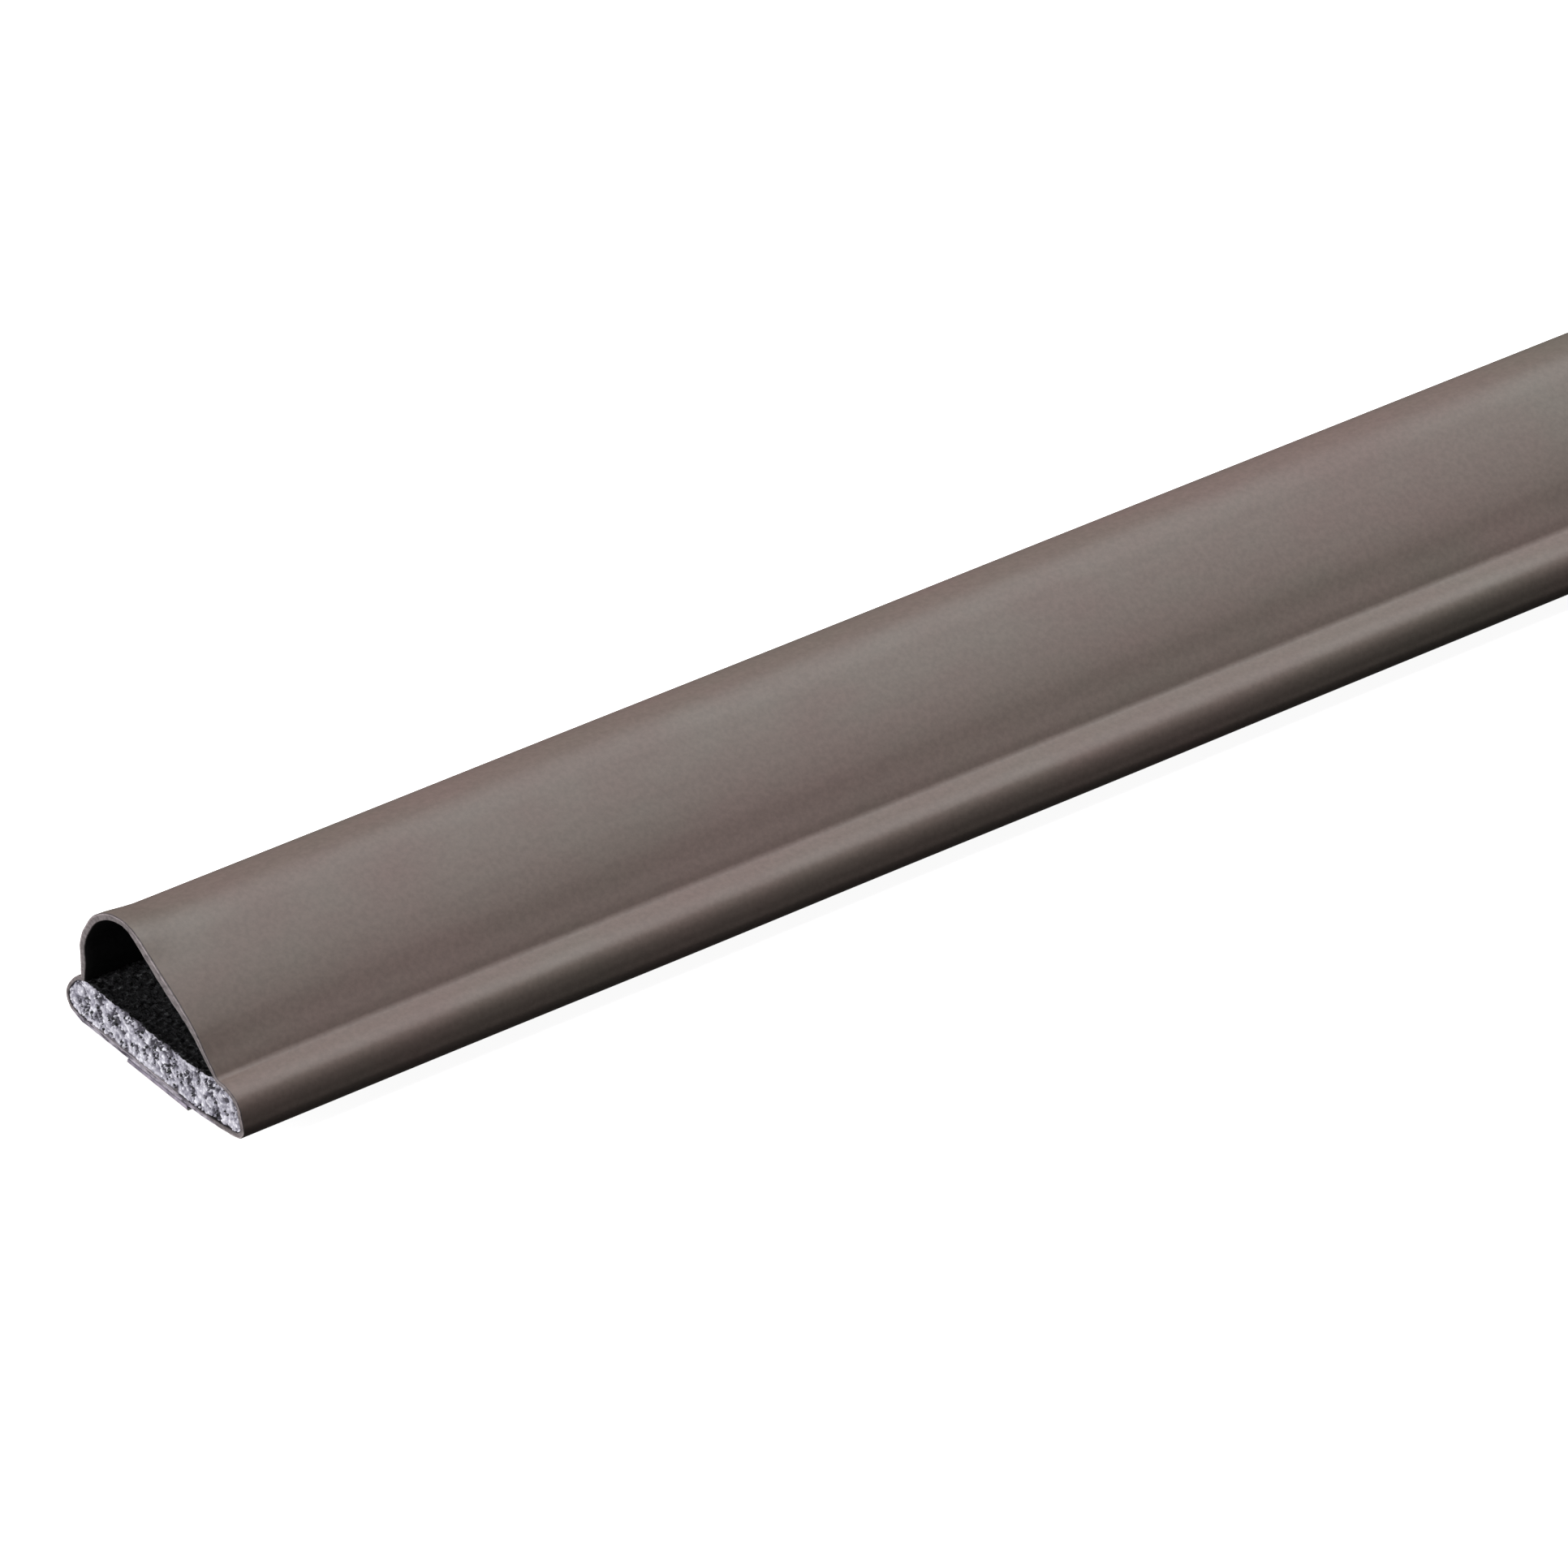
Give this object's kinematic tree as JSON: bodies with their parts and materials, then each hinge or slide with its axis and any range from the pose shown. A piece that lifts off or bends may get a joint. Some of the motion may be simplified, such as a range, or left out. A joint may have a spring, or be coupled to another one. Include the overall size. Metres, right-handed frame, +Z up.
{
  "type": "door sweep",
  "caption": "Peel-and-stick door sweep: a hollow vinyl sealing bulb on a foam-filled base, with mounting tape along its underside.",
  "frame": {"origin": "middle of the underside: halfway along the strip, halfway between nose and heel, on the liner's lower face", "axes": "+X along the strip; -Y towards the rounded nose at the foot of the slope, +Y towards the upright back wall; +Z up from the stuck-down underside towards the crest"},
  "size_m": [0.9144, 0.0382, 0.0197],
  "materials": {
    "cover_vinyl": "satin taupe flexible vinyl",
    "foam": "open-cell foam, silver grey where cut, near black inside",
    "bond_film": "clear adhesive film",
    "tape": "double-sided mounting tape",
    "liner": "siliconised release paper"
  },
  "bodies": {
    "base": {"cover_base": "cover_vinyl", "foam_core": "foam", "foam_bond_film": "bond_film", "adhesive_strip": "tape"},
    "bulb": {"cover_slope": "cover_vinyl", "cover_crest": "cover_vinyl", "cover_back_wall": "cover_vinyl"},
    "liner": {"release_liner": "liner"}
  },
  "joints": [
    {"name": "bulb_flex", "type": "hinge", "parent": "base", "child": "bulb", "pos_m": [0, -0.01285, 0.0079], "axis": [-1, 0, 0], "range_deg": [0, 8], "stiffness_Nm_per_rad": 3.3, "deforming": ["foam_core"]},
    {"name": "liner_peel", "type": "slide", "parent": "base", "child": "liner", "axis": [0, -1, 0], "range_m": [0, 0.06]}
  ]
}
